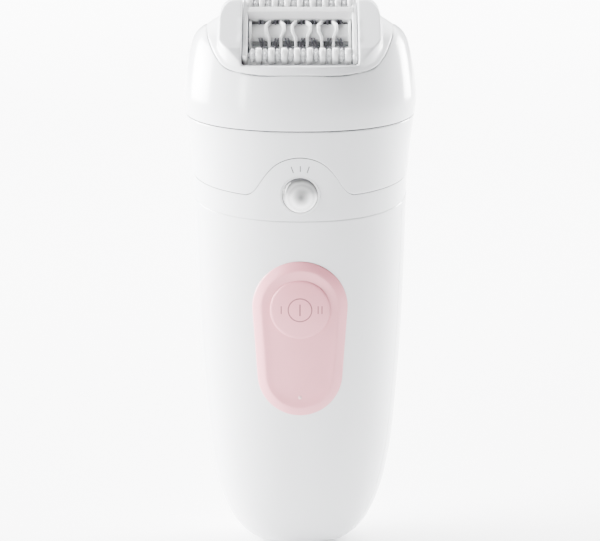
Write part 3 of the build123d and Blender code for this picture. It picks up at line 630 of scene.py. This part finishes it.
def build_button():
    profile = [(0.0, 2.4), (BUTTON_R - 0.35, 2.4), (BUTTON_R - 0.35, 0.5), (BUTTON_R, 0.5), (BUTTON_R, 0.14)]
    profile += [(BUTTON_R - 0.03, 0.06), (BUTTON_R - 0.1, 0.0)]
    for step in range(1, 13):
        radius = (BUTTON_R - 0.1) * (1 - step / 12)
        profile.append((radius, -BUTTON_DOME * (1 - (radius / BUTTON_R) ** 2)))
    place = (0, BUTTON_FACE, BUTTON_Z)
    button = turned(
        "power_button_skin", profile, place, PINK, "power_button", "pad_pink", 128, BUTTON_LEAN
    )
    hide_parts("power_button")
    ring = []
    for step in range(72):
        angle = 2 * math.pi * step / 72
        ring.append((POWER_R * math.cos(angle), BUTTON_Z + POWER_R * math.sin(angle)))
    inlay("power_ring", ring, 0.34, button_y, MARK_PINK, "power_button", closed=True, depth=0.015)
    bar = line((0, BUTTON_Z - 1.7), (0, BUTTON_Z + 1.7))
    inlay("power_bar", bar, 0.42, button_y, MARK_PINK, "power_button", depth=0.015)
    for name, x in (("speed_one", -5.35), ("speed_two_left", 5.15), ("speed_two_right", 6.25)):
        stroke = line((x, BUTTON_Z - 1.15), (x, BUTTON_Z + 1.15))
        inlay(name, stroke, 0.3, button_y, MARK_PINK, "power_button", depth=0.015)


def build_pilot():
    place = (0, pad_y(0, PILOT_Z), PILOT_Z)
    lens = [(0.0, 0.5), (0.6, 0.5), (0.6, 0.02), (0.55, -0.04), (0.35, -0.1), (0.0, -0.12)]
    turned("pilot_lens", lens, place, PILOT, "handle", "lens_clear", 40)


build_button()
build_pilot()


# ---------------------------------------------------------------- lamp
def build_lamp():
    face = front_y(0, LAMP_Z)
    place = (0, face, LAMP_Z)
    rim = [(4.95, 1.5), (LAMP_R, 1.5), (LAMP_R, 0.12), (LAMP_R - 0.04, 0.02), (LAMP_R - 0.16, 0.0)]
    rim += [(LAMP_R - 0.3, 0.03), (5.12, 0.22), (5.02, 0.5), (4.95, 1.5)]
    turned("lamp_rim", rim, place, RIM, "handle", "reflector", 128)
    dome = [(0.0, 0.6), (4.9, 0.6), (5.0, 0.25)]
    for step in range(11):
        turn = math.pi / 2 * step / 10
        dome.append((5.0 * math.cos(turn), 0.2 - 0.92 * math.sin(turn)))
    lens = turned("lamp_lens_skin", dome, place, DOME, "handle", "lens_clear", 128)
    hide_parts("lamp_lens")


build_lamp()


def build_ticks():
    for name, top, low in (
        ("ray_left", (-2.5, 116.5), (-1.85, 114.7)),
        ("ray_middle", (0.1, 116.7), (0.1, 115.0)),
        ("ray_right", (2.6, 116.5), (2.0, 114.7)),
    ):
        inlay(name, line(top, low), 0.3, front_y, MARK, "handle", depth=0.02)


build_ticks()


# ---------------------------------------------------------------- dark bands under the seams, painted shade for the shadow in the gaps
# Dark band just under the skin along a seam: painted shade standing for the shadow in the gap, not a real
# seal.
def seam_shadow_band(name, limit, half, body, low, high):
    columns = 600
    points = []
    for inset in (-0.28, -1.2):
        for side in (-1, 1):
            for column in range(columns):
                angle = 2 * math.pi * column / columns
                height = meet(lambda h: angle, limit, low, high) + side * half
                points.append(on_body(angle, height, inset))
    order = [0, 1, 3, 2]
    points = [points[row * columns + column] for row in order for column in range(columns)]
    add_mesh(name, points, grid_faces(4, columns, True, close_rows=True), SEAM_SHADOW, body, "inner_grey")


seam_shadow_band("collar_seam_shadow", lambda x, y: seam_height(COLLAR_SEAM, x, y), 0.3, "handle", 85.0, 130.0)
seam_shadow_band("head_seam_shadow", lambda x, y: collar_top(x, y) + 0.05, 0.3, "handle", 90.0, 135.0)
seam_shadow_band("skirt_seam_shadow", lambda x, y: seam_height(SKIRT_SEAM, x, y), 0.3, "head", 105.0, 150.0)


# ---------------------------------------------------------------- working head: frame on the tilted face
def on_face(x, s, w):
    """Point in the tilted frame of the working head: s runs up the face, w stands out of it."""
    c, n = math.cos(TILT), math.sin(TILT)
    return (x, FACE_Y + s * c - w * n, FACE_Z + s * n + w * c)


def face_turned(profile, x, s, w, columns):
    """Points and faces of a ring turned about an axis along X; the profile is (x, radius) pairs."""
    points = []
    for along, radius in profile:
        for column in range(columns):
            angle = 2 * math.pi * column / columns
            points.append(on_face(x + along, s + radius * math.cos(angle), w + radius * math.sin(angle)))
    return points, grid_faces(len(profile), columns, True, close_rows=True)


def joined(parts):
    """Several (points, faces) pairs as one."""
    points, faces = [], []
    for more_points, more_faces in parts:
        base = len(points)
        points += more_points
        faces += [tuple(index + base for index in face) for face in more_faces]
    return points, faces


ROLLER_R, ROLLER_W, ROLLER_BORE, ROW = 2.05, 1.4, 0.56, 10.0
NUB_R, NUBS = 0.45, 8
FRONT_ROLLERS = [-13.33 + FRONT_PITCH * i for i in range(8)]
REAR_ROLLERS = [(i - 3.5) * REAR_PITCH for i in range(8)]


def bead(x, s, w, radius):
    """Small ball as a closed grid."""
    points = []
    for row in range(7):
        lift = math.pi * row / 6
        for column in range(10):
            turn = 2 * math.pi * column / 10
            flat = radius * math.sin(lift)
            along = x + radius * math.cos(lift)
            points.append(on_face(along, s + flat * math.cos(turn), w + flat * math.sin(turn)))
    return points, grid_faces(7, 10, True)


def build_rollers():
    half = ROLLER_W / 2
    body_profile = [(-half, ROLLER_BORE), (-half, 1.2), (-half + 0.15, 1.35), (-0.3, 1.55), (0.3, 1.55)]
    body_profile += [(half - 0.15, 1.35), (half, 1.2), (half, ROLLER_BORE)]
    for row, s, spots in (("front", -ROW, FRONT_ROLLERS), ("rear", ROW, REAR_ROLLERS)):
        for number, x in enumerate(spots):
            name = f"{row}_roller_{number + 1}"
            parts = [face_turned(body_profile, x, s, 0, 32)]
            for nub in range(NUBS):
                turn = 2 * math.pi * (nub + 0.5) / NUBS
                reach = ROLLER_R - NUB_R - 0.01
                parts.append(bead(x, s + reach * math.cos(turn), reach * math.sin(turn), NUB_R))
            points, faces = joined(parts)
            piece = add_mesh(f"{name}_nubbed", points, faces, ROLLER, name, "cap_white")
            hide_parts(name)


build_rollers()


def build_barrel():
    """Ribbed core with four tweezer channels, end discs, hub and six white guide walls."""
    columns = 480
    rows_at = [math.radians(45 + 90 * row) for row in range(4)]
    outer = 6.7

    def core_radius(angle):
        for centre in rows_at:
            off = abs((angle - centre + math.pi) % (2 * math.pi) - math.pi)
            if off * 5.6 < 0.8:
                return 3.55
        return 5.52 + 0.09 * math.cos(80 * angle)

    profile = [(-14.4, 1.56), (-14.4, outer - 0.1), (-14.3, outer), (-13.75, outer), (-13.7, outer - 0.05)]
    profile += [(-13.7, None), (13.7, None), (13.7, outer - 0.05), (13.75, outer), (14.3, outer)]
    profile += [(14.4, outer - 0.1), (14.4, 3.4), (17.6, 3.4), (17.6, 1.56)]
    points = []
    for along, radius in profile:
        for column in range(columns):
            angle = 2 * math.pi * column / columns
            reach = core_radius(angle) if radius is None else radius
            points.append(on_face(along, reach * math.cos(angle), -BARREL_DROP + reach * math.sin(angle)))
    parts = [(points, grid_faces(len(profile), columns, True, close_rows=True))]
    for number in range(6):
        parts.append(blade((number - 3) * TWEEZER_PITCH + 2.25, 1 if number % 2 else -1, rows_at))
    points, faces = joined(parts)
    piece = add_mesh("barrel_bladed", points, faces, CAP_WHITE, "barrel", "cap_white", smooth=28)
    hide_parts("tweezer_barrel")


def blade(x0, side, rows_at):
    """White guide wall round the barrel that swings sideways between the tweezer rows."""
    columns = 240
    section = [(-0.43, 5.2), (-0.43, 6.5), (-0.27, 6.7), (0.27, 6.7), (0.43, 6.5), (0.43, 5.2)]
    quarter = math.pi / 2
    points = []
    for along, radius in section:
        for column in range(columns):
            angle = 2 * math.pi * column / columns
            phase = (angle - rows_at[0]) % quarter / quarter
            swing = min(1.0, max(0.0, (0.5 - abs(phase - 0.5)) * 5.0 - 0.9))
            x = x0 + side * (0.9 * swing - 0.2) + along
            points.append(on_face(x, radius * math.cos(angle), -BARREL_DROP + radius * math.sin(angle)))
    return points, grid_faces(len(section), columns, True, close_rows=True)


build_barrel()


BOX_FACES = [(0, 1, 3, 2), (4, 6, 7, 5), (0, 4, 5, 1), (2, 3, 7, 6), (0, 2, 6, 4), (1, 5, 7, 3)]


def plate(x0, slant, centre, low, high, half):
    """Bent metal strip across a tweezer row: x shifts with the distance round the barrel."""
    points = []
    for across in (-half, half):
        for radius in (low, high):
            for side in (-0.2, 0.2):
                angle = centre + across / radius
                x = x0 + side + slant * across
                points.append(on_face(x, radius * math.cos(angle), -BARREL_DROP + radius * math.sin(angle)))
    return points, BOX_FACES


def build_tweezers():
    fixed, sliding, bars = [], [], []
    for row in range(4):
        centre = math.radians(45 + 90 * row)
        for number in range(7):
            x0 = (number - 3) * TWEEZER_PITCH
            slant = 0.3 if (number + row) % 2 else -0.3
            fixed.append(plate(x0, slant, centre, 4.9, 6.95, 1.7))
            sliding.append(plate(x0 + TWEEZER_GAP, slant, centre, 5.75, 6.95, 1.7))
            bars.append(plate(x0 + TWEEZER_GAP, 0.0, centre, 3.7, 5.9, 0.6))
        points = []
        for x in (-13.3, 13.6):
            for across in (-0.68, 0.68):
                for radius in (3.65, 4.6):
                    angle = centre + math.asin(across / radius)
                    s = radius * math.cos(angle)
                    points.append(on_face(x, s, -BARREL_DROP + radius * math.sin(angle)))
        bars.append((points, BOX_FACES))
    fixed_piece = add_mesh("fixed_tweezer_strips", *joined(fixed), TWEEZER, "barrel", "tweezer_steel")
    sliding_piece = add_mesh(
        "sliding_tweezer_strips", *joined(sliding), TWEEZER, "tweezer_slide", "tweezer_steel"
    )
    add_mesh("tweezer_push_bars", *joined(bars), GREY_BAR, "tweezer_slide", "inner_grey")
    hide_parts("fixed_tweezers")
    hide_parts("sliding_tweezers")


build_tweezers()


# ---------------------------------------------------------------- massage cap
def soft_box(x0, x1, s0, s1, w0, w1, radius=0.3):
    """Box in the working head's frame with rounded edges."""
    work = bmesh.new()
    bmesh.ops.create_cube(work, size=1.0)
    for vertex in work.verts:
        vertex.co.x = x0 + (vertex.co.x + 0.5) * (x1 - x0)
        vertex.co.y = s0 + (vertex.co.y + 0.5) * (s1 - s0)
        vertex.co.z = w0 + (vertex.co.z + 0.5) * (w1 - w0)
    bmesh.ops.bevel(work, geom=work.edges[:], offset=radius, segments=4, profile=0.5, affect="EDGES")
    work.verts.index_update()
    points = [on_face(*vertex.co) for vertex in work.verts]
    faces = [tuple(vertex.index for vertex in face.verts) for face in work.faces]
    work.free()
    return points, faces


def pill(x, width, s, low, radius, foot, rounding=0.42):
    """Rounded fin: a half disc of this radius on a stalk, its rims rounded over."""
    outline = [(radius * math.cos(math.pi * i / 20), radius * math.sin(math.pi * i / 20)) for i in range(21)]
    outline += [(-radius * 0.94, -0.7), (-foot, low), (foot, low), (radius * 0.94, -0.7)]
    steps = [(0.0, rounding), (0.08, rounding * 0.55), (0.2, rounding * 0.22), (rounding, 0.0)]
    rims = [(-width / 2 + along, inset) for along, inset in steps]
    rims += [(width / 2 - along, inset) for along, inset in reversed(steps)]
    points = []
    for along, inset in rims:
        keep = 1 - inset / radius
        points += [on_face(x + along, s + a * keep, b * keep) for a, b in outline]
    count = len(outline)
    faces = grid_faces(len(rims), count, True)
    faces.append(tuple(range(count)))
    faces.append(tuple(range((len(rims) - 1) * count, len(rims) * count)))
    return points, faces


CAP_HALF, CAP_TOP = 16.1, 1.8
FIN_W, FIN_R = 1.78, ROLLER_R + 0.1
BEAD_PITCH, BEAD_R = 1.88, 0.24
RAMP_HALF = 14.9


def build_cap():
    """Frame with its end walls, rear ramp, rounded fins between the rollers and a row of beads."""
    parts = [soft_box(-CAP_HALF, CAP_HALF, -ROW - 2.1, -ROW + 1.5, -3.35, -2.35)]
    for side in (-1, 1):
        x0, x1 = sorted((side * 14.75, side * CAP_HALF))
        parts.append(soft_box(x0, x1, -ROW - 2.0, 13.2, -1.0, CAP_TOP - 0.25, 0.35))
        parts.append(soft_box(x0 - 0.02, x1 + 0.02, -ROW - 2.1, -ROW + 2.1, -3.3, CAP_TOP, 0.45))
    parts.append(soft_box(-RAMP_HALF, RAMP_HALF, 5.0, 13.2, -1.7, -0.95, 0.2))
    parts.append(soft_box(-RAMP_HALF, RAMP_HALF, 12.45, 13.2, -1.7, CAP_TOP, 0.3))
    parts.append(rear_ramp())
    for number in range(8):
        parts.append(pill(-11.54 + FRONT_PITCH * number, FIN_W, -ROW, -2.9, FIN_R, 1.2))
    for number in range(9):
        parts.append(pill((number - 4) * REAR_PITCH, FIN_W, ROW, -1.2, FIN_R, 1.6))
    for number in range(16):
        parts.append(bead((number - 7.5) * BEAD_PITCH, 6.75, CAP_TOP - 0.1, BEAD_R))
    points, faces = joined(parts)
    cap = add_mesh("massage_cap_rounded", points, faces, CAP_WHITE, "cap", "cap_white")
    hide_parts("massage_cap")


def rear_ramp():
    """Plate behind the opening, its front edge cut to a broad bevel above a rounded lip."""
    section = [(7.55, -1.2), (7.55, 1.7), (7.45, CAP_TOP), (5.75, CAP_TOP), (5.6, 1.76), (4.75, 0.55)]
    section += [(4.5, 0.45), (4.3, 0.25), (4.25, 0.0), (4.25, -1.3), (4.45, -1.65), (5.2, -1.7), (7.3, -1.7)]
    points = []
    for x in (-RAMP_HALF, RAMP_HALF):
        points += [on_face(x, s, w) for s, w in section]
    count = len(section)
    faces = grid_faces(2, count, True)
    faces.append(tuple(range(count)))
    faces.append(tuple(range(count, 2 * count)))
    return points, faces


build_cap()


# ---------------------------------------------------------------- housing with softened edges
def soften(node, name, cell, material, rounds):
    """Evened-out copy of a CAD node's surface with its edges rounded off."""
    piece = bpy.data.objects.new(name, frame["nodes"][node].data.copy())
    bpy.context.scene.collection.objects.link(piece)
    even = piece.modifiers.new("even", "REMESH")
    even.mode = "VOXEL"
    even.voxel_size = cell * MM
    even.use_smooth_shade = True
    relax = piece.modifiers.new("relax", "SMOOTH")
    relax.factor = 0.5
    relax.iterations = rounds
    graph = bpy.context.evaluated_depsgraph_get()
    mesh = bpy.data.meshes.new_from_object(piece.evaluated_get(graph))
    piece.modifiers.clear()
    piece.data = mesh
    mesh.materials.clear()
    mesh.materials.append(material)
    for polygon in mesh.polygons:
        polygon.use_smooth = True
    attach(piece, "head")
    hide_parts(node)


soften("head_housing", "head_housing_soft", 0.3, HEAD_WHITE, 9)


# ---------------------------------------------------------------- stage, lights and camera
def build_stage():
    mesh = bpy.data.meshes.new("floor")
    size = 6.0
    corners = [(-size, -size, 0), (size, -size, 0), (size, size, 0), (-size, size, 0)]
    mesh.from_pydata(corners, [], [(0, 1, 2, 3)])
    floor = bpy.data.objects.new("floor", mesh)
    bpy.context.scene.collection.objects.link(floor)
    floor.location.z = -0.0002
    mesh.materials.append(node_material("floor_white", (0.92, 0.92, 0.925), 0.6, speckle=0.004))


def area_light(name, place, target, size, size_y, power, spread):
    """Soft rectangular light turned to the target; sizes in metres, power in watts, spread in degrees."""
    data = bpy.data.lights.new(name, "AREA")
    data.shape = "RECTANGLE"
    data.size = size
    data.size_y = size_y
    data.energy = power
    data.spread = math.radians(spread)
    light = bpy.data.objects.new(name, data)
    bpy.context.scene.collection.objects.link(light)
    light.location = place
    light.rotation_euler = (Vector(target) - Vector(place)).to_track_quat("-Z", "Y").to_euler()


def build_lights():
    world = bpy.context.scene.world or bpy.data.worlds.new("world")
    bpy.context.scene.world = world
    world.use_nodes = True
    background = world.node_tree.nodes["Background"]
    background.inputs["Color"].default_value = (1.0, 1.0, 1.0, 1.0)
    background.inputs["Strength"].default_value = 0.22
    area_light("backdrop_top", (0.0, 1.7, 1.0), (0.0, 1.7, 0.0), 4.0, 2.6, 470.0, 140)
    area_light("side_left", (-1.1, 0.12, 0.3), (0, 0, 0.09), 0.9, 1.0, 62.0, 75)
    area_light("side_right", (1.1, 0.5, 0.3), (0, 0, 0.09), 0.5, 1.0, 26.0, 75)
    area_light("strip_left", (-0.55, -0.8, 0.25), (0, 0, 0.09), 0.1, 0.8, 2.0, 90)


def build_camera():
    data = bpy.data.cameras.new("camera")
    data.lens = 132.6
    data.sensor_width = 36.0
    camera = bpy.data.objects.new("camera", data)
    bpy.context.scene.collection.objects.link(camera)
    place = Vector((0.0, -0.630, 0.2306))
    target = Vector((0.0, 0.0, 0.0816))
    camera.location = place
    camera.rotation_euler = (target - place).to_track_quat("-Z", "Y").to_euler()
    bpy.context.scene.camera = camera


build_stage()
build_lights()
build_camera()
